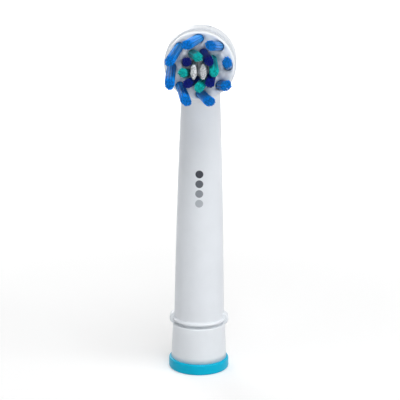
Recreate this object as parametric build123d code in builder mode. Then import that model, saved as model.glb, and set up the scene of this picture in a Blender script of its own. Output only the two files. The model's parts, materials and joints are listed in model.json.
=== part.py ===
from build123d import *
import os
from math import cos, radians, sin, sqrt, tan
from typing import NamedTuple

# Electric toothbrush head whose round disc swings to and fro. The colour ring stands on the XY plane,
# the neck follows +Z and the bristles face -Y. A handle's shaft turns a sleeve inside the neck, and a
# bent rod carries that turning to a fork on the back of the disc. Sizes are in millimetres, and places
# along the disc's axis are measured forward of the neck's axis.

# Fits
running_clearance = 0.05
assembly_clearance = 0.05
lug_clearance = 0.1
tuft_clearance = 0.03
axial_play = 0.2
disc_gap = 0.3
skirt_clearance = 0.2
prong_clearance = 0.22
prong_gap = 0.35
prong_end_gap = 0.45

# Insert that closes the lower end of the neck and receives the handle
handle_bore_radius = 3.15
funnel_height = 4.4
seat_wall = 0.6
shoulder = 0.8
collar_height = 10.4
collar_proud = 0.25
collar_taper = 0.35
collar_rounding = 0.3
rim_gap = 0.6
flange_step = 0.7
spigot_radius = 4.3
spigot_length = 13.0
spigot_wall = 0.85
spigot_lead = 0.4
lug_proud = 1.0
lug_width = 2.4
lug_height = 2.3
lug_rounding = 0.3

# Colour ring round the collar's foot
ring_proud = 0.5
ring_height = 2.4
ring_lip = 0.6
ring_rounding = 0.4

# Neck
rim_wall = 1.15
neck_wall = 1.0
neck_crown = 0.18
neck_top_width = 7.9
neck_spine_inset = 0.45
rim_bead_radius = 0.35

# Cup behind the disc
cup_radius = 7.65
cup_wall = 1.0
cup_rim = 4.5
cup_back = 3.8
cup_floor = 1.9
cup_crown_radius = 16.0
cup_rounding = 3.2
cup_blend = 2.0
cup_rim_rounding = 0.3
boss_wall = 0.85
boss_gap = 0.8
bore_back_wall = 2.1

# Sleeve on the handle's shaft
journal_depth = 4.0
shaft_radius = 1.75
shaft_flat_depth = 0.5
shaft_depth = 23.3
sleeve_wall = 1.0
socket_floor = 1.0
nose_wall = 1.35
nose_length = 3.0
nose_slope = 1.5

# Spring clip that snaps into the shaft's notch
clip_rise = 1.4
clip_height = 1.4
clip_thickness = 0.5
clip_opening = 100.0
clip_nose_width = 1.5
clip_nose_bite = 0.2

# Bent drive rod, its bearing web in the neck and its channel up to the cup
rod_radius = 0.75
rod_grip = 6.5
rod_bend = 1.3
rod_rise = 14.5
web_thickness = 3.6
channel_room = 0.75

# Disc that carries the tufts
plate_inset = 0.35
plate_thickness = 2.2
plate_rounding = 0.35
skirt_depth = 0.9
skirt_wall = 0.7
hub_radius = 1.7
fork_depth = 1.7
fork_rib = 0.8
fork_length = 2.8

# Pin that keeps the hub in its boss
pin_radius = 0.5
pin_setback = 0.9
pin_tail = 1.6
pin_recess = 0.25
hub_groove_depth = 0.5

# Tufts: angles turn from +X towards +Z, a lean is along the ring and a flare is away from its middle
tuft_root = 1.4
tuft_tip_bevel = 0.3
outer_count = 8
outer_margin = 1.4
outer_first_angle = 3.5
outer_lean = 15.5
outer_flare = 1.0
outer_width = 2.4
outer_depth = 1.95
outer_height = 7.6
inner_pairs = 4
inner_ring_radius = 3.0
inner_first_angle = 29.0
inner_lean = -13.0
inner_flare = -1.0
inner_width = 1.9
inner_depth = 1.9
inner_height = 6.8
centre_spacing = 2.0
centre_width = 3.0
centre_depth = 1.3
centre_height = 6.4

# Heights along the neck, from the surface that the ring stands on
neck_base = collar_height + rim_gap
spigot_top = neck_base + spigot_length
journal_floor = spigot_top - journal_depth
journal_top = spigot_top - axial_play
sleeve_bottom = journal_floor + axial_play
clip_bottom = journal_top + clip_rise
rod_bottom = sleeve_bottom + shaft_depth + socket_floor
sleeve_top = rod_bottom + rod_grip
web_bottom = sleeve_top + axial_play
web_top = web_bottom + web_thickness
disc_height = web_top + rod_rise

# Places along the disc's axis, forward of the neck's axis
plate_back = cup_rim + disc_gap
plate_front = plate_back + plate_thickness
boss_front = plate_back - fork_depth - boss_gap
bore_floor = bore_back_wall - cup_back
pin_place = boss_front - pin_setback
crank_reach = plate_back - prong_end_gap - rod_radius

# Radii, from the spigot out to the neck and collar, then in to the ring's seat and the funnel
journal_bore_radius = spigot_radius - spigot_wall
journal_radius = journal_bore_radius - running_clearance
neck_base_radius = spigot_radius + assembly_clearance + rim_wall
collar_top_radius = neck_base_radius + collar_proud
collar_foot_radius = collar_top_radius + collar_taper
ring_radius = collar_foot_radius + ring_proud
seat_radius = collar_foot_radius - shoulder
funnel_radius = seat_radius - seat_wall
lug_reach = neck_base_radius + lug_proud
sleeve_radius = shaft_radius + sleeve_wall
nose_radius = rod_radius + nose_wall
channel_radius = rod_radius + channel_room

# Radii and offsets about the disc's axis
cup_inner_radius = cup_radius - cup_wall
skirt_radius = cup_inner_radius - skirt_clearance
crown_rise = cup_crown_radius - sqrt(cup_crown_radius**2 - cup_radius**2)
boss_bore_radius = hub_radius + running_clearance
boss_radius = boss_bore_radius + boss_wall
groove_radius = hub_radius - hub_groove_depth
pin_offset = groove_radius + pin_radius + running_clearance
crank_drop = boss_radius + prong_gap + rod_radius
prong_height = disc_height - crank_drop
slot_half_width = rod_radius + prong_clearance
plate_radius = cup_radius - plate_inset
outer_ring_radius = plate_radius - outer_margin

# The disc's plane has X to the right and Y up, and its normal is the way the bristles face
head_plane = Plane(origin=(0, 0, disc_height), x_dir=(1, 0, 0), z_dir=(0, -1, 0))
cup_section = Plane(origin=(0, 0, disc_height), x_dir=(0, -1, 0), z_dir=(-1, 0, 0))
disc_axis = Axis((0, 0, disc_height), (0, -1, 0))


class TuftRing(NamedTuple):
    """Like tufts spaced evenly round the disc's axis."""

    names: list
    radius: float
    first_angle: float
    lean: float
    flare: float
    width: float
    depth: float
    height: float


def neck_half_sizes(height, inset=0.0):
    """Half width and half depth of the neck at a height, smaller by the inset."""
    share = (height - neck_base) / (disc_height - neck_base)
    bulge = neck_crown * 4 * share * (1 - share)
    half_width = neck_base_radius + (neck_top_width / 2 - neck_base_radius) * share + bulge
    half_depth = neck_base_radius + (cup_back - neck_spine_inset - neck_base_radius) * share + bulge
    return half_width - inset, half_depth - inset


def tuft_section(ring, index, rise):
    """Plane across a tuft at a rise above the plate, level with the disc and with X along the ring."""
    angle = radians(ring.first_angle + 360 / len(ring.names) * index)
    outward = Vector(cos(angle), sin(angle), 0)
    along = Vector(-sin(angle), cos(angle), 0)
    slope = outward * tan(radians(ring.flare)) + along * tan(radians(ring.lean)) + Vector(0, 0, 1)
    place = outward * ring.radius + Vector(0, 0, plate_front) + slope * rise
    return Plane(head_plane.location * Plane(place, along).location)


tuft_rings = [
    TuftRing(
        [f"outer_tuft_{number}" for number in range(1, outer_count + 1)],
        outer_ring_radius, outer_first_angle, outer_lean, outer_flare,
        outer_width, outer_depth, outer_height,
    ),
    TuftRing(
        [f"{colour}_tuft_{number}" for number in range(1, inner_pairs + 1) for colour in ("teal", "navy")],
        inner_ring_radius, inner_first_angle, inner_lean, inner_flare,
        inner_width, inner_depth, inner_height,
    ),
    TuftRing(
        ["centre_tuft_right", "centre_tuft_left"],
        centre_spacing / 2, 0.0, 0.0, 0.0,
        centre_width, centre_depth, centre_height,
    ),
]

# Neck and cup, one moulding
with BuildPart() as neck_housing:
    for height in (neck_base, spigot_top, web_bottom, disc_height):
        with BuildSketch(Plane.XY.offset(height)):
            Ellipse(*neck_half_sizes(height))
    loft()
    with BuildSketch(cup_section) as cup_profile:
        with BuildLine():
            crown = RadiusArc((-cup_back, 0), (crown_rise - cup_back, cup_radius), cup_crown_radius)
            Polyline(crown @ 1, (cup_rim, cup_radius), (cup_rim, 0), crown @ 0)
        make_face()
        back_corner, rim_corner = cup_profile.vertices().group_by(Axis.Y)[-1].sort_by(Axis.X)
        fillet(back_corner, cup_rounding)
        fillet(rim_corner, cup_rim_rounding)
    revolve(axis=disc_axis)
    fillet(neck_housing.edges(Select.NEW), cup_blend)
    with Locations((0, 0, neck_base + rim_bead_radius)):
        Torus(neck_base_radius, rim_bead_radius)

    # Room for the disc's drive, with the bearing boss in its middle
    with BuildSketch(cup_section) as cavity_profile:
        with BuildLine():
            Polyline(
                (-cup_floor, 0), (-cup_floor, cup_inner_radius), (cup_rim, cup_inner_radius), (cup_rim, 0),
                close=True,
            )
        make_face()
        cavity_corner = cavity_profile.vertices().group_by(Axis.Y)[-1].sort_by(Axis.X)[0]
        fillet(cavity_corner, cup_rounding - cup_wall)
    revolve(axis=disc_axis, mode=Mode.SUBTRACT)
    with BuildSketch(head_plane.offset(-cup_back + cup_wall)):
        Circle(boss_radius)
    extrude(amount=cup_back - cup_wall + boss_front)
    with BuildSketch(head_plane.offset(bore_floor)):
        Circle(boss_bore_radius)
    extrude(amount=boss_front - bore_floor, mode=Mode.SUBTRACT)
    with BuildSketch(Plane(origin=(pin_offset, -pin_place, disc_height - pin_tail))):
        Circle(pin_radius)
    extrude(amount=cup_radius + pin_tail, mode=Mode.SUBTRACT)

    # Bore for the insert's spigot, chamber for the sleeve, and the rod's bearing and channel
    with BuildSketch(Plane.XY.offset(neck_base)):
        Circle(spigot_radius + assembly_clearance)
    extrude(amount=spigot_length + axial_play, mode=Mode.SUBTRACT)
    for height in (spigot_top, web_bottom):
        with BuildSketch(Plane.XY.offset(height)):
            Ellipse(*neck_half_sizes(height, neck_wall))
    loft(mode=Mode.SUBTRACT)
    with BuildSketch(Plane.XY.offset(web_bottom)):
        Circle(rod_radius + running_clearance)
    extrude(amount=web_thickness, mode=Mode.SUBTRACT)
    with BuildSketch(Plane.XY.offset(web_top)):
        Circle(channel_radius)
    extrude(amount=disc_height - boss_radius - web_top, mode=Mode.SUBTRACT)

    # Notches in the lower rim for the insert's lugs
    with BuildSketch(Plane.XY.offset(neck_base)):
        Rectangle(2 * lug_reach, lug_width + 2 * lug_clearance)
    extrude(amount=lug_height - rim_gap + lug_clearance, mode=Mode.SUBTRACT)

# Snap lugs at the insert's sides, domed outwards and rooted in its spigot and collar
with BuildPart() as snap_lugs:
    lug_inner = (handle_bore_radius + spigot_radius) / 2
    lug_bottom = collar_height - collar_rounding
    lug_top = collar_height + lug_height
    with BuildSketch(Plane.XZ):
        with BuildLine():
            dome = ThreePointArc(
                (neck_base_radius, lug_top),
                (lug_reach, (lug_top + lug_bottom) / 2),
                (neck_base_radius, lug_bottom),
            )
            Polyline(dome @ 1, (lug_inner, lug_bottom), (lug_inner, lug_top), dome @ 0)
        make_face()
        mirror(about=Plane.YZ)
    extrude(amount=lug_width / 2, both=True)
    flanks = snap_lugs.faces().filter_by(Axis.Y)
    fillet(flanks.edges(), lug_rounding)

# Insert: collar, rim gap, spigot and the stepped bore
with BuildPart() as coupling_insert:
    with BuildSketch(Plane.XZ):
        with BuildLine():
            Polyline(
                (funnel_radius, ring_lip),
                (seat_radius, ring_lip),
                (seat_radius, ring_height),
                (collar_foot_radius, ring_height),
                (collar_top_radius, collar_height),
                (spigot_radius + flange_step, collar_height),
                (spigot_radius + flange_step, neck_base),
                (spigot_radius, neck_base),
                (spigot_radius, spigot_top - spigot_lead),
                (spigot_radius - spigot_lead, spigot_top),
                (journal_bore_radius, spigot_top),
                (journal_bore_radius, journal_floor),
                (handle_bore_radius, journal_floor),
                (handle_bore_radius, funnel_height),
                close=True,
            )
        make_face()
    revolve(axis=Axis.Z)
    collar_top = coupling_insert.edges().filter_by_position(Axis.Z, collar_height, collar_height)
    fillet(collar_top.sort_by(SortBy.RADIUS)[-1], collar_rounding)
    add(snap_lugs.part)

# Colour ring round the collar's foot
with BuildPart() as colour_ring:
    with BuildSketch(Plane.XZ):
        with BuildLine():
            Polyline(
                (funnel_radius, 0),
                (ring_radius, 0),
                (ring_radius, ring_height),
                (seat_radius + assembly_clearance, ring_height),
                (seat_radius + assembly_clearance, ring_lip),
                (funnel_radius, ring_lip),
                close=True,
            )
        make_face()
    revolve(axis=Axis.Z)
    outer_edges = colour_ring.edges().filter_by(GeomType.CIRCLE).group_by(SortBy.RADIUS)[-1]
    fillet(outer_edges, ring_rounding)

# Pin across the cup, tangent to the hub's groove
with BuildPart() as retaining_pin:
    with BuildSketch(Plane(origin=(pin_offset, -pin_place, disc_height - pin_tail))):
        Circle(pin_radius)
    extrude(amount=sqrt(cup_radius**2 - pin_offset**2) + pin_tail - pin_recess)

# Sleeve: journal, barrel and nose, with the flatted socket below and the rod's hole above
with BuildPart() as drive_coupling:
    with BuildSketch(Plane.XZ):
        with BuildLine():
            Polyline(
                (0, sleeve_bottom),
                (journal_radius, sleeve_bottom),
                (journal_radius, journal_top),
                (sleeve_radius, journal_top),
                (sleeve_radius, sleeve_top - nose_length - nose_slope),
                (nose_radius, sleeve_top - nose_length),
                (nose_radius, sleeve_top),
                (0, sleeve_top),
                close=True,
            )
        make_face()
    revolve(axis=Axis.Z)
    with BuildSketch(Plane.XY.offset(sleeve_bottom)):
        Circle(shaft_radius)
        with Locations((0, -shaft_radius)):
            Rectangle(
                2 * shaft_radius, shaft_flat_depth, align=(Align.CENTER, Align.MIN), mode=Mode.SUBTRACT
            )
    extrude(amount=shaft_depth, mode=Mode.SUBTRACT)
    with BuildSketch(Plane.XY.offset(rod_bottom)):
        Circle(rod_radius)
    extrude(amount=rod_grip, mode=Mode.SUBTRACT)
    with BuildSketch(Plane.XY.offset(clip_bottom - assembly_clearance)):
        Circle(journal_radius)
        Circle(sleeve_radius - clip_thickness - assembly_clearance, mode=Mode.SUBTRACT)
        Rectangle(
            clip_nose_width + 2 * assembly_clearance, sleeve_radius, align=(Align.CENTER, Align.MAX)
        )
    extrude(amount=clip_height + 2 * assembly_clearance, mode=Mode.SUBTRACT)

# Clip: open ring in the sleeve's groove, with a nose through the window at the front
with BuildPart() as shaft_clip:
    with BuildSketch(Plane.XY.offset(clip_bottom)):
        Circle(sleeve_radius)
        Circle(sleeve_radius - clip_thickness, mode=Mode.SUBTRACT)
        opening_reach = 2 * sleeve_radius
        opening_half = opening_reach * tan(radians(clip_opening / 2))
        Polygon(
            (0, 0), (opening_half, opening_reach), (-opening_half, opening_reach),
            align=None, mode=Mode.SUBTRACT,
        )
        nose_tip = shaft_radius - shaft_flat_depth - clip_nose_bite
        with Locations((0, -nose_tip)):
            Rectangle(
                clip_nose_width, sleeve_radius - clip_thickness / 2 - nose_tip,
                align=(Align.CENTER, Align.MAX),
            )
    extrude(amount=clip_height)

# Rod: straight up the neck, then bent forward into a prong with a rounded end
with BuildPart() as drive_rod:
    with BuildLine(Plane.YZ):
        FilletPolyline(
            (0, rod_bottom), (0, prong_height), (-crank_reach, prong_height), radius=rod_bend
        )
    with BuildSketch(Plane.XY.offset(rod_bottom)):
        Circle(rod_radius)
    sweep()
    with Locations((0, -crank_reach, prong_height)):
        Sphere(rod_radius)

# Disc: plate with a skirt that enters the cup, hub with the pin's groove, fork for the rod's prong, and
# a hole for each tuft
with BuildPart() as bristle_carrier:
    with BuildSketch(head_plane.offset(plate_back)):
        Circle(plate_radius)
    extrude(amount=plate_thickness)
    fillet(bristle_carrier.edges().sort_by(disc_axis)[-1], plate_rounding)
    with BuildSketch(head_plane.offset(plate_back)):
        Circle(skirt_radius)
        Circle(skirt_radius - skirt_wall, mode=Mode.SUBTRACT)
    extrude(amount=-skirt_depth)
    with BuildSketch(head_plane.offset(bore_floor + axial_play)):
        Circle(hub_radius)
    extrude(amount=plate_back - bore_floor - axial_play)
    with BuildSketch(head_plane.offset(pin_place - pin_radius - running_clearance)):
        Circle(hub_radius)
        Circle(groove_radius, mode=Mode.SUBTRACT)
    extrude(amount=2 * (pin_radius + running_clearance), mode=Mode.SUBTRACT)
    with BuildSketch(head_plane.offset(plate_back)):
        rib_place = slot_half_width + fork_rib / 2
        with Locations((-rib_place, -crank_drop), (rib_place, -crank_drop)):
            Rectangle(fork_rib, fork_length)
    extrude(amount=-fork_depth)
    for ring in tuft_rings:
        for index in range(len(ring.names)):
            for rise in (-tuft_root, plate_thickness):
                with BuildSketch(tuft_section(ring, index, rise)):
                    Ellipse(ring.width / 2 + tuft_clearance, ring.depth / 2 + tuft_clearance)
            loft(mode=Mode.SUBTRACT)

os.makedirs("parts", exist_ok=True)
pieces = {
    "neck_housing": neck_housing,
    "coupling_insert": coupling_insert,
    "colour_ring": colour_ring,
    "retaining_pin": retaining_pin,
    "drive_coupling": drive_coupling,
    "shaft_clip": shaft_clip,
    "drive_rod": drive_rod,
    "bristle_carrier": bristle_carrier,
}
for name, piece in pieces.items():
    piece.part.label = name
    export_step(piece.part, f"parts/{name}.step")

# Tufts, each rooted in its hole and trimmed level with the disc
for ring in tuft_rings:
    for index, name in enumerate(ring.names):
        bevel_start = ring.height - tuft_tip_bevel
        with BuildPart() as tuft:
            for rise, inset in ((-tuft_root, 0), (bevel_start, 0), (ring.height, tuft_tip_bevel)):
                with BuildSketch(tuft_section(ring, index, rise)):
                    Ellipse(ring.width / 2 - inset, ring.depth / 2 - inset)
            loft(ruled=True)
        tuft.part.label = name
        export_step(tuft.part, f"parts/{name}.step")
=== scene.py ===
import json
import math
import random

import bmesh
import bpy
from mathutils import Matrix, Vector


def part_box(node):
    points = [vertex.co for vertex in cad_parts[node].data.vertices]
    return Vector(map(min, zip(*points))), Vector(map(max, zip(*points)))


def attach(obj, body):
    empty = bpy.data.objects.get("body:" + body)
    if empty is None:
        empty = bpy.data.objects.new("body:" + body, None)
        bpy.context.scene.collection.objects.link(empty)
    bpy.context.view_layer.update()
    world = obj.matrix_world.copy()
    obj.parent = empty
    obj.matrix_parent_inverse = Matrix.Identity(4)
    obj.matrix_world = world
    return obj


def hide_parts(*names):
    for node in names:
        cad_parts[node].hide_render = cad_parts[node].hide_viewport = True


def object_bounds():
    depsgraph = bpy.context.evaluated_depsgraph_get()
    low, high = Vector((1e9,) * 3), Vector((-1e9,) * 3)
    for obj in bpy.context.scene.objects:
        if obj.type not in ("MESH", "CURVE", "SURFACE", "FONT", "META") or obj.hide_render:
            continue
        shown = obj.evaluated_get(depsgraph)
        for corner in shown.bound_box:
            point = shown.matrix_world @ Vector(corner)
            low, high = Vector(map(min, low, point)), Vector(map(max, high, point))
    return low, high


# Dresses the electric toothbrush head: smooth white mouldings, a glossy colour ring and tufts of nylon
# filaments in the place of the plain tuft solids. The bristles face -Y and the neck follows +Z.

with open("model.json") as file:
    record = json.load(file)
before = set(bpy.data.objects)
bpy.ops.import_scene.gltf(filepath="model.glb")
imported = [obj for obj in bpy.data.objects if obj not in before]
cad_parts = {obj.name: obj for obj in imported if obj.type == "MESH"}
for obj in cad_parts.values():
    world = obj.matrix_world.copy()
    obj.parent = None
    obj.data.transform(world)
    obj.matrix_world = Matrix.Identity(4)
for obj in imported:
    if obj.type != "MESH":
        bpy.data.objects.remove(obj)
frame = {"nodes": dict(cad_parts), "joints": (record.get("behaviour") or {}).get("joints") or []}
cad_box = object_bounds()
nodes = frame["nodes"]
mm = 0.001

# Places read from the frame
swing = next(joint for joint in frame["joints"] if joint["name"] == "carrier_swing")
disc_centre = Vector(swing["pos_m"])
plate_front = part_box("bristle_carrier")[0].y

# Camera: seen from a little above and to the right, the way the head stands in front of the viewer
camera_distance = 384 * mm
camera_height = 147 * mm
camera_azimuth = math.radians(2.3)
camera_roll = math.radians(0.45)
frame_fill = 0.88
sensor_width = 36

# Mouldings: a fan of more triangles than pole_fan, at the pole of a dome, becomes one even face
merge_distance = 0.0005 * mm
pole_fan = 60
crease_angle = math.radians(32)

# Filaments: shares of the length, the tuft's half widths or the filament's radius, where not in mm
filament_radius = 0.105 * mm
filament_sides = 6
filament_cuts = (0.35, 0.6, 0.8)
filament_pitch = 0.22 * mm
filament_crowding = 1.1
round_end = 0.7
round_end_segments = 2
root_gather = 0.93
tip_spread = 1.14
tip_splay = 0.05
trim_depth = (0.03 * mm, 0.16 * mm)
tip_rounding = 0.2 * mm
tip_rounding_power = 6
bend_reach = 0.09 * mm
level_tolerance = 0.001 * mm
golden_angle = math.pi * (3 - math.sqrt(5))
dice_seed = 7

# Noises: waves to the metre and octaves of finer detail, then the stretch of each noise that is used
mottling_noise = (190.0, 3.0)
gloss_noise = (420.0, 4.0)
streak_noise = (900.0, 2.0)
drawn_noise = (1.0, 3.0)
drawn_stretch = (9000.0, 9000.0, 300.0)
grain_detail = 2.0
middle_range = (0.3, 0.7)
mottling_range = (0.25, 0.75)
drawn_range = (0.2, 0.8)

# Finishes: the lowest and highest roughness or tone, the grain of the plastic and the specular level
full_range = (0.0, 1.0)
mottling_tones = (0.965, 1.0)
satin_roughness = (0.3, 0.42)
disc_roughness = (0.32, 0.45)
grain_size = 0.12 * mm
grain_depth = 0.004 * mm
ring_grain_depth = 0.002 * mm
grain_strength = 0.5
plastic_shine = 0.5
ring_shine = 0.14
nylon_roughness = (0.28, 0.42)
nylon_shine = 0.18
strand_tones = (0.62, 1.2)
# Share of a strand's height over which its root colour turns into its tip colour; on the coloured tufts the
# root colour is painted light
tip_fade = (0.35, 1.0)
steel_roughness = (0.22, 0.4)
steel_tones = (0.85, 1.0)

# Colours as the surfaces show them under plain light, except the blue, teal and navy roots, which are
# painted paler: painted light in the shaded gaps between the tufts
white_colour = (0.775, 0.81, 0.855, 1)
collar_colour = (0.79, 0.825, 0.865, 1)
disc_colour = (0.89, 0.91, 0.935, 1)
cyan_colour = (0.0, 0.455, 0.68, 1)
sleeve_colour = (0.60, 0.62, 0.64, 1)
steel_colour = (0.56, 0.57, 0.58, 1)
# Painted light: the blue, teal and navy strands are paler at the root than at the tip, which stands in for
# light in the shade between the tufts. The white strands are paler towards the tip.
blue_root_painted_light = (0.03, 0.36, 0.9, 1)
blue_tip = (0.003, 0.275, 0.85, 1)
teal_root_painted_light = (0.02, 0.6, 0.66, 1)
teal_tip = (0.004, 0.6, 0.58, 1)
navy_root_painted_light = (0.004, 0.04, 0.32, 1)
navy_tip = (0.002, 0.014, 0.25, 1)
white_root = (0.82, 0.85, 0.88, 1)
white_tip = (0.92, 0.94, 0.96, 1)

# Printed dots on the front of the neck, from the top one down
dot_tones = ((0.018, 0.022, 0.035), (0.085, 0.095, 0.115), (0.24, 0.26, 0.29), (0.42, 0.45, 0.49))
dot_radius = 0.85 * mm
dot_edge = 0.04 * mm
dot_pitch = 2.15 * mm
dot_top = 45.2 * mm
print_front = (0.0, -0.5 * mm)

# Studio: the floor glows less near the head, so that its shadow shows. Lamps have a place and a width in
# metres and a power in watts.
pure_white = (1, 1, 1, 1)
floor_colour = (0.72, 0.72, 0.72, 1)
floor_half_width = 4.0
glow_reach = (0.05, 0.32)
floor_glow = (0.33, 1.0)
surround_light = (0.235, 1.0)
lamps = {
    "key_softbox": ((0.55, -0.25, 0.3), 0.4, 1.55),
    "front_softbox": ((0.08, -0.75, 0.28), 0.3, 0.75),
    "fill_softbox": ((-0.5, -0.4, 0.3), 0.4, 0.5),
    "top_softbox": ((0.1, -0.3, 0.7), 0.3, 2.4),
    "back_softbox": ((-0.3, 0.58, 0.3), 0.4, 1.7),
}


class NodeTree:
    """Adds nodes to one tree. An input given as a socket is linked, and any other value is set."""

    def __init__(self, tree):
        self.tree = tree

    def add(self, kind, inputs=None, **settings):
        node = self.tree.nodes.new(kind)
        for name, value in settings.items():
            setattr(node, name, value)
        for name, value in (inputs or {}).items():
            if isinstance(value, bpy.types.NodeSocket):
                self.tree.links.new(value, node.inputs[name])
            else:
                node.inputs[name].default_value = value
        return node

    def math(self, operation, first, second=0.0):
        return self.add("ShaderNodeMath", {0: first, 1: second}, operation=operation).outputs[0]

    def ramp(self, value, span, out=full_range):
        """Smooth step of a value over a span, from the first number of out to the second."""
        limits = {"From Min": span[0], "From Max": span[1], "To Min": out[0], "To Max": out[1]}
        node = self.add("ShaderNodeMapRange", {"Value": value, **limits}, interpolation_type="SMOOTHSTEP")
        return node.outputs["Result"]

    def mix(self, factor, first, second, blend_type="MIX"):
        """Mix of two colours. Sockets 6 and 7 are the node's colour inputs, and 2 its colour output."""
        colours = {0: factor, 6: first, 7: second}
        return self.add("ShaderNodeMix", colours, data_type="RGBA", blend_type=blend_type).outputs[2]

    def place(self):
        return self.add("ShaderNodeTexCoord").outputs["Object"]

    def noise(self, place, scale, detail):
        inputs = {"Vector": place, "Scale": scale, "Detail": detail}
        return self.add("ShaderNodeTexNoise", inputs).outputs["Fac"]

    def seen_directly(self):
        """1 for rays from the camera, from a reflection or through glass, and 0 for those that light."""
        path = self.add("ShaderNodeLightPath").outputs
        seen = self.math("MAXIMUM", path["Is Camera Ray"], path["Is Glossy Ray"])
        return self.math("MAXIMUM", seen, path["Is Transmission Ray"])

    def surface(self, inputs):
        """Principled shader with these inputs as the material's surface."""
        shader = self.add("ShaderNodeBsdfPrincipled", inputs)
        self.add("ShaderNodeOutputMaterial", {"Surface": shader.outputs["BSDF"]})


def new_material(name):
    """Empty node material, with its tree wrapped."""
    material = bpy.data.materials.new(name)
    material.use_nodes = True
    material.node_tree.nodes.clear()
    return material, NodeTree(material.node_tree)


def moulded_skin_group():
    """Skin of a moulded plastic: slow mottling, fine spark-eroded grain and patches of gloss."""
    group = bpy.data.node_groups.new("moulded_skin", "ShaderNodeTree")
    for name in ("Grain Size", "Roughness Low", "Roughness High"):
        group.interface.new_socket(name, in_out="INPUT", socket_type="NodeSocketFloat")
    for name in ("Tone", "Grain", "Roughness"):
        group.interface.new_socket(name, in_out="OUTPUT", socket_type="NodeSocketFloat")
    tree = NodeTree(group)
    given = tree.add("NodeGroupInput").outputs
    place = tree.place()
    mottling = tree.noise(place, *mottling_noise)
    grain = tree.noise(place, tree.math("DIVIDE", 1.0, given["Grain Size"]), grain_detail)
    gloss_share = tree.ramp(tree.noise(place, *gloss_noise), middle_range)
    gloss_span = tree.math("SUBTRACT", given["Roughness High"], given["Roughness Low"])
    roughness = tree.math("ADD", given["Roughness Low"], tree.math("MULTIPLY", gloss_share, gloss_span))
    tone = tree.ramp(mottling, mottling_range, mottling_tones)
    tree.add("NodeGroupOutput", {"Tone": tone, "Grain": grain, "Roughness": roughness})
    return group


moulded_skin = moulded_skin_group()


def plastic_surface(tree, colour, roughness=satin_roughness, depth=grain_depth, shine=plastic_shine):
    """Plastic with the moulded skin as the material's surface. Colour may be a value or a socket."""
    skin_inputs = {"Grain Size": grain_size, "Roughness Low": roughness[0], "Roughness High": roughness[1]}
    skin = tree.add("ShaderNodeGroup", skin_inputs, node_tree=moulded_skin).outputs
    bump_inputs = {"Height": skin["Grain"], "Distance": depth, "Strength": grain_strength}
    inputs = {
        "Base Color": tree.mix(1.0, colour, skin["Tone"], "MULTIPLY"),
        "Roughness": skin["Roughness"],
        "Normal": tree.add("ShaderNodeBump", bump_inputs).outputs["Normal"],
        "Specular IOR Level": shine,
    }
    tree.surface(inputs)


def plain_plastic(name, colour, **finish):
    """Moulded plastic of one colour."""
    material, tree = new_material(name)
    plastic_surface(tree, colour, **finish)
    return material


def neck_plastic():
    """White plastic of the neck, with a column of graded dots printed on the front."""
    material, tree = new_material("white_neck_plastic")
    place = tree.add("ShaderNodeSeparateXYZ", {0: tree.place()}).outputs
    front = tree.ramp(place["Y"], print_front)
    colour = white_colour
    for index, tone in enumerate(dot_tones):
        rise = tree.math("SUBTRACT", place["Z"], dot_top - index * dot_pitch)
        square = tree.math("ADD", tree.math("POWER", place["X"], 2), tree.math("POWER", rise, 2))
        reach = tree.math("SQRT", square)
        dot = tree.ramp(reach, (dot_radius + dot_edge, dot_radius - dot_edge))
        colour = tree.mix(tree.math("MULTIPLY", dot, front), colour, (*tone, 1))
    plastic_surface(tree, colour)
    return material


def nylon(name, root_colour, tip_colour):
    """Nylon filaments: each strand has its own tone, and the colour changes from its root to its tip; a
    paler root is painted light in the shade between the tufts.
    """
    material, tree = new_material(name)
    tone = tree.add("ShaderNodeAttribute", attribute_name="strand_tone").outputs["Fac"]
    height = tree.add("ShaderNodeAttribute", attribute_name="strand_height").outputs["Fac"]
    # On the blue, teal and navy strands the paler root colour is painted light where the tufts shade one
    # another
    shade = tree.mix(tree.ramp(height, tip_fade), root_colour, tip_colour)
    streaks = tree.noise(tree.place(), *streak_noise)
    inputs = {
        "Base Color": tree.mix(1.0, shade, tree.ramp(tone, full_range, strand_tones), "MULTIPLY"),
        "Roughness": tree.ramp(streaks, middle_range, nylon_roughness),
        "Specular IOR Level": nylon_shine,
    }
    tree.surface(inputs)
    return material


def drawn_steel(name):
    """Drawn steel with fine lines along its length."""
    material, tree = new_material(name)
    stretched = tree.add("ShaderNodeMapping", {"Vector": tree.place(), "Scale": drawn_stretch})
    lines = tree.noise(stretched.outputs["Vector"], *drawn_noise)
    inputs = {
        "Base Color": tree.mix(1.0, steel_colour, tree.ramp(lines, drawn_range, steel_tones), "MULTIPLY"),
        "Roughness": tree.ramp(lines, middle_range, steel_roughness),
        "Metallic": 1.0,
    }
    tree.surface(inputs)
    return material


def finish_piece(bm, name, material, body, slot, *replaced):
    """Turns a bmesh into a piece that rides on a body in the place of its CAD nodes."""
    mesh = bpy.data.meshes.new(name)
    bm.to_mesh(mesh)
    bm.free()
    mesh.materials.append(material)
    piece = bpy.data.objects.new(name, mesh)
    bpy.context.scene.collection.objects.link(piece)
    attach(piece, body)
    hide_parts(*replaced)
    return piece


def smooth_moulding(node_name, piece_name, material, body, slot):
    """The moulding's own surface with its triangles joined and shaded smooth between its creases."""
    bm = bmesh.new()
    bm.from_mesh(nodes[node_name].data)
    bmesh.ops.remove_doubles(bm, verts=bm.verts, dist=merge_distance)
    poles = [vert for vert in bm.verts if len(vert.link_faces) > pole_fan]
    bmesh.ops.dissolve_verts(bm, verts=poles)
    for face in bm.faces:
        face.smooth = True
        face.material_index = 0
    piece = finish_piece(bm, piece_name, material, body, slot, node_name)
    piece.data.set_sharp_from_angle(angle=crease_angle)


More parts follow.
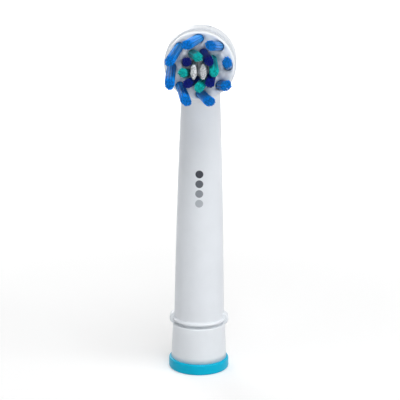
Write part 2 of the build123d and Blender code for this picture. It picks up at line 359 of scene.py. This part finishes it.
def make_filament(length):
    """One round-ended filament of this length, standing on the origin along +Z."""
    bm = bmesh.new()
    bmesh.ops.create_cone(
        bm, cap_ends=True, segments=filament_sides, radius1=filament_radius, radius2=filament_radius,
        depth=length, matrix=Matrix.Translation((0, 0, length / 2)),
    )
    tip = [edge for edge in bm.edges if all(vert.co.z > length / 2 for vert in edge.verts)]
    bmesh.ops.bevel(
        bm, geom=tip, offset=filament_radius * round_end, segments=round_end_segments, profile=0.5,
        affect="EDGES", material=-1,
    )
    for share in filament_cuts:
        geometry = bm.verts[:] + bm.edges[:] + bm.faces[:]
        bmesh.ops.bisect_plane(bm, geom=geometry, plane_co=(0, 0, length * share), plane_no=(0, 0, 1))
    mesh = bpy.data.meshes.new("filament")
    bm.to_mesh(mesh)
    bm.free()
    return mesh


class TuftForm:
    """Line and oval section of a tuft, measured on its CAD solid. Its sections are level with the disc."""

    def __init__(self, node_name):
        points = [vertex.co for vertex in nodes[node_name].data.vertices]
        root_level = max(point.y for point in points)
        tip_level = min(point.y for point in points)
        root_ring = [point for point in points if point.y > root_level - level_tolerance]
        tip_ring = [point for point in points if point.y < tip_level + level_tolerance]
        self.root = self.middle(root_ring)
        self.tip = self.middle(tip_ring)
        self.direction = (self.tip - self.root).normalized()
        share = (plate_front - root_level) / (tip_level - root_level)
        self.across = self.root.lerp(self.tip, share) - disc_centre
        self.across.y = 0
        self.across.normalize()
        self.along = self.across.cross(Vector((0, 1, 0)))
        self.half_along = max(abs((point - self.root).dot(self.along)) for point in root_ring)
        self.half_across = max(abs((point - self.root).dot(self.across)) for point in root_ring)

    @staticmethod
    def middle(points):
        """Centre of the box round some points."""
        corners = [(min(axis), max(axis)) for axis in zip(*points)]
        return Vector([(low + high) / 2 for low, high in corners])


def bristle_tuft(node_name, material, slot, dice):
    """Bundle of filaments that fills a tuft's oval and is trimmed level with the disc."""
    form = TuftForm(node_name)
    length = (form.tip - form.root).length
    filament = make_filament(length)
    count = round(math.pi * form.half_along * form.half_across / filament_pitch**2 * filament_crowding)
    bm = bmesh.new()
    tone_layer = bm.verts.layers.float.new("strand_tone")
    height_layer = bm.verts.layers.float.new("strand_height")
    room_along = form.half_along - filament_radius
    room_across = form.half_across - filament_radius
    for index in range(count):
        reach = math.sqrt((index + 0.5) / count)
        turn = golden_angle * index
        offset = form.along * (math.cos(turn) * reach * room_along)
        offset += form.across * (math.sin(turn) * reach * room_across)
        foot = form.root + offset * root_gather
        head = form.tip + offset * (tip_spread + dice.uniform(-tip_splay, tip_splay))
        head -= form.direction * (dice.uniform(*trim_depth) + tip_rounding * reach**tip_rounding_power)
        strand = head - foot
        turned = strand.to_track_quat("Z", "Y").to_matrix().to_4x4()
        spin = Matrix.Rotation(dice.uniform(0, math.tau), 4, "Z")
        stretch = Matrix.Diagonal((1, 1, strand.length / length, 1))
        bend = form.along * dice.uniform(-1, 1) * bend_reach + form.across * dice.uniform(-1, 1) * bend_reach
        tone = dice.random()
        first = len(bm.verts)
        bm.from_mesh(filament)
        bm.verts.ensure_lookup_table()
        for vert in bm.verts[first:]:
            share = vert.co.z / length
            bow = 4 * share * (1 - share)
            vert[tone_layer] = tone
            vert[height_layer] = share
            vert.co = foot + turned @ spin @ stretch @ vert.co + bend * bow
    for face in bm.faces:
        face.smooth = True
    bpy.data.meshes.remove(filament)
    finish_piece(bm, node_name + "_filaments", material, "carrier", slot, node_name)


# Mouldings
neck_finish = neck_plastic()
smooth_moulding("neck_housing", "neck_moulding", neck_finish, "housing", "white_plastic")
collar_finish = plain_plastic("collar_plastic", collar_colour)
smooth_moulding("coupling_insert", "collar_moulding", collar_finish, "housing", "collar_plastic")
ring_finish = plain_plastic("cyan_ring_plastic", cyan_colour, depth=ring_grain_depth, shine=ring_shine)
smooth_moulding("colour_ring", "cyan_ring", ring_finish, "housing", "cyan_plastic")
disc_finish = plain_plastic("disc_plastic", disc_colour, roughness=disc_roughness)
smooth_moulding("bristle_carrier", "disc_moulding", disc_finish, "carrier", "disc_plastic")
sleeve_finish = plain_plastic("sleeve_plastic", sleeve_colour)
smooth_moulding("drive_coupling", "sleeve_moulding", sleeve_finish, "drive", "sleeve_plastic")
steel_finish = drawn_steel("drawn_steel")
smooth_moulding("drive_rod", "bent_rod", steel_finish, "drive", "steel")
smooth_moulding("shaft_clip", "spring_clip", steel_finish, "drive", "spring_steel")
smooth_moulding("retaining_pin", "steel_pin", steel_finish, "housing", "steel")

# Tufts
# The blue, teal and navy finishes carry painted light: their roots are painted paler than the shade between
# the tufts leaves them
tuft_finishes = {
    "outer": (nylon("blue_nylon", blue_root_painted_light, blue_tip), "blue_bristle"),
    "teal": (nylon("teal_nylon", teal_root_painted_light, teal_tip), "teal_bristle"),
    "navy": (nylon("navy_nylon", navy_root_painted_light, navy_tip), "navy_bristle"),
    "centre": (nylon("white_nylon", white_root, white_tip), "white_bristle"),
}
dice = random.Random(dice_seed)
for node_name in sorted(nodes):
    kind = node_name.split("_tuft")[0]
    if kind in tuft_finishes:
        bristle_tuft(node_name, *tuft_finishes[kind], dice)


def studio_floor():
    """Pale floor that shows white to the camera and keeps the head's shadow."""
    material, tree = new_material("pale_floor")
    reach = tree.add("ShaderNodeVectorMath", {0: tree.place()}, operation="LENGTH").outputs["Value"]
    strength = tree.math("MULTIPLY", tree.seen_directly(), tree.ramp(reach, glow_reach, floor_glow))
    diffuse = tree.add("ShaderNodeBsdfDiffuse", {"Color": floor_colour})
    glow = tree.add("ShaderNodeEmission", {"Color": pure_white, "Strength": strength})
    both = tree.add("ShaderNodeAddShader", {0: diffuse.outputs[0], 1: glow.outputs[0]})
    tree.add("ShaderNodeOutputMaterial", {"Surface": both.outputs[0]})
    bm = bmesh.new()
    bmesh.ops.create_grid(bm, x_segments=1, y_segments=1, size=floor_half_width)
    mesh = bpy.data.meshes.new("studio_floor")
    bm.to_mesh(mesh)
    bm.free()
    mesh.materials.append(material)
    floor = bpy.data.objects.new("studio_floor", mesh)
    bpy.context.scene.collection.objects.link(floor)


def studio_world():
    """Even pale surround that the camera sees as white."""
    world = bpy.data.worlds.new("pale_surround")
    world.use_nodes = True
    world.node_tree.nodes.clear()
    tree = NodeTree(world.node_tree)
    strength = tree.ramp(tree.seen_directly(), full_range, surround_light)
    surround = tree.add("ShaderNodeBackground", {"Color": pure_white, "Strength": strength})
    tree.add("ShaderNodeOutputWorld", {"Surface": surround.outputs[0]})
    bpy.context.scene.world = world


def softbox(name, place, aim, size, power):
    """Square area lamp turned towards a point."""
    lamp = bpy.data.lights.new(name, "AREA")
    lamp.size = size
    lamp.energy = power
    holder = bpy.data.objects.new(name, lamp)
    holder.location = place
    holder.rotation_euler = (Vector(aim) - Vector(place)).to_track_quat("-Z", "Y").to_euler()
    bpy.context.scene.collection.objects.link(holder)


def studio_camera():
    """Camera that looks down on the head and frames it from foot to crown."""
    low, high = cad_box
    turn = Matrix.Rotation(camera_azimuth, 4, "Z")
    place = turn @ Vector((0, -camera_distance, camera_height))
    foot_angle = math.atan2(camera_height - low.z, camera_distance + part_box("colour_ring")[0].y)
    crown_angle = math.atan2(camera_height - high.z, camera_distance)
    tilt = (foot_angle + crown_angle) / 2
    field = (foot_angle - crown_angle) / frame_fill
    lens = bpy.data.cameras.new("studio_camera")
    lens.sensor_width = sensor_width
    lens.lens = sensor_width / 2 / math.tan(field / 2)
    holder = bpy.data.objects.new("studio_camera", lens)
    pitch = Matrix.Rotation(math.pi / 2 - tilt, 4, "X")
    holder.matrix_world = Matrix.Translation(place) @ turn @ pitch @ Matrix.Rotation(camera_roll, 4, "Z")
    bpy.context.scene.collection.objects.link(holder)
    bpy.context.scene.camera = holder


# Studio
studio_floor()
studio_world()
middle = (cad_box[0] + cad_box[1]) / 2
for lamp_name, (lamp_place, lamp_size, lamp_power) in lamps.items():
    softbox(lamp_name, lamp_place, middle, lamp_size, lamp_power)
studio_camera()
bpy.context.scene.view_settings.view_transform = "Standard"
